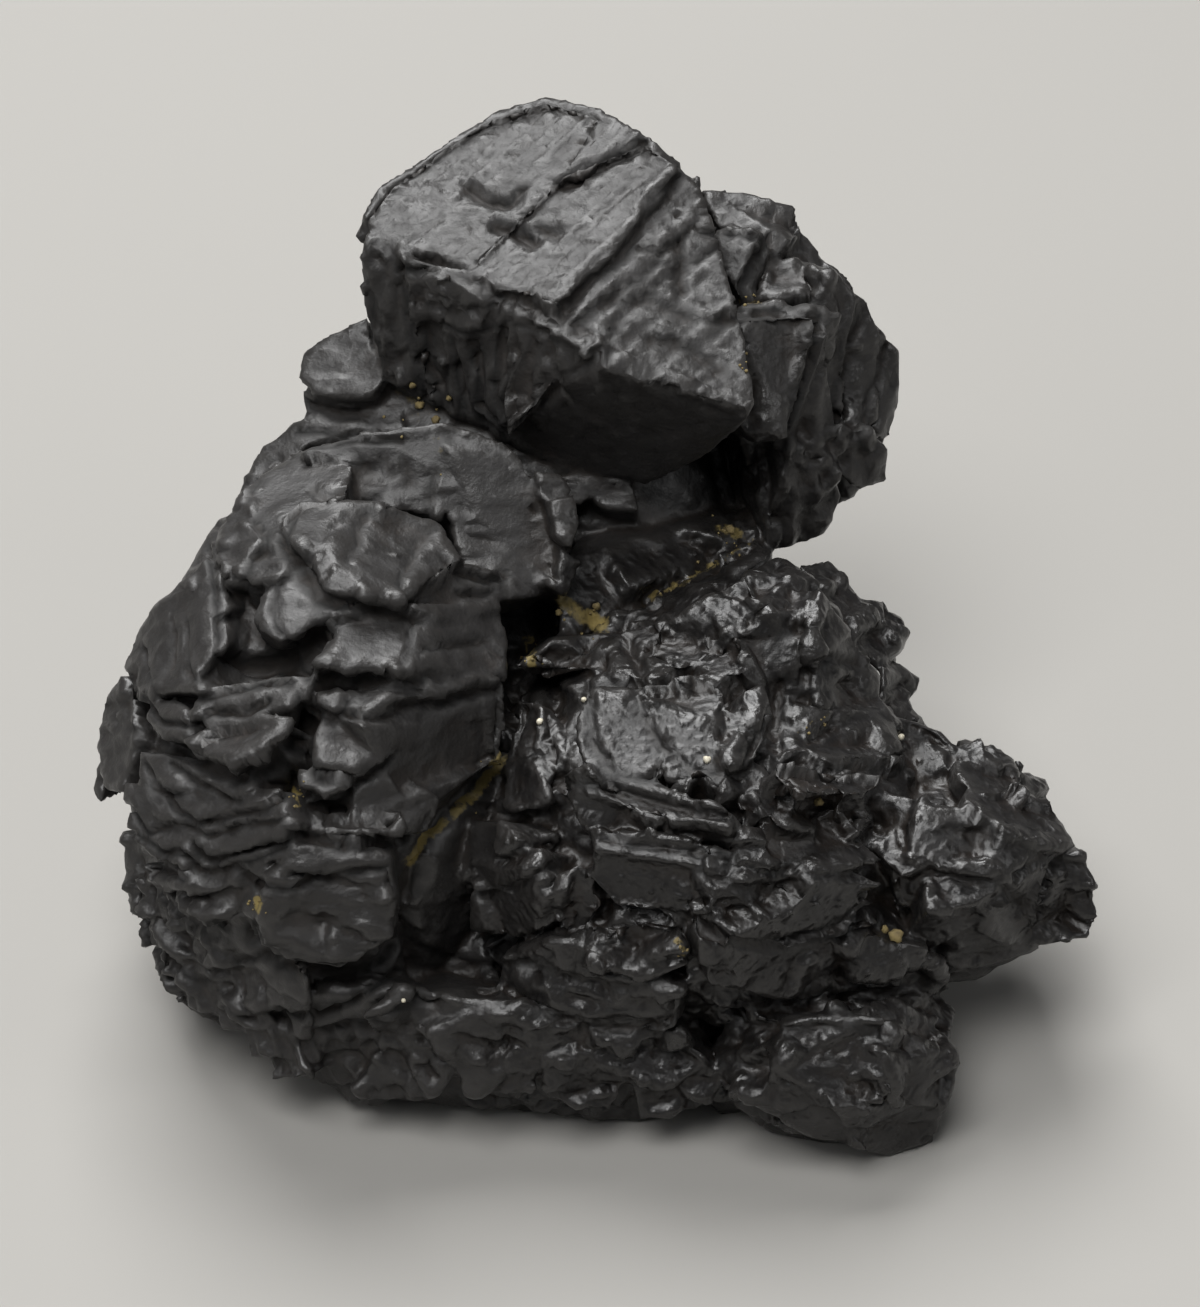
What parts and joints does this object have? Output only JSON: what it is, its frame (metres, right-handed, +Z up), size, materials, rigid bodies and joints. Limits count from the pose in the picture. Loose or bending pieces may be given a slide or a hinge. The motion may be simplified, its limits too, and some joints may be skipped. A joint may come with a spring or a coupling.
{
  "type": "prophecy stone",
  "caption": "Free-standing cluster of intergrown black crystals: a big blunt block over a plated dome and a wrinkled lobed mass.",
  "frame": {"origin": "middle of the stone's box, on the surface that it rests on", "axes": "+Z up, +X to the right and +Y away as the picture looks at it"},
  "size_m": [0.0614, 0.0528, 0.0467],
  "materials": {
    "black_oxide": "satin black iron oxide crystal skin, glossier and wrinkled on the right-hand mass, ochre clay in the deepest crevices"
  },
  "bodies": {
    "root": {"stone": "black_oxide"}
  },
  "joints": []
}
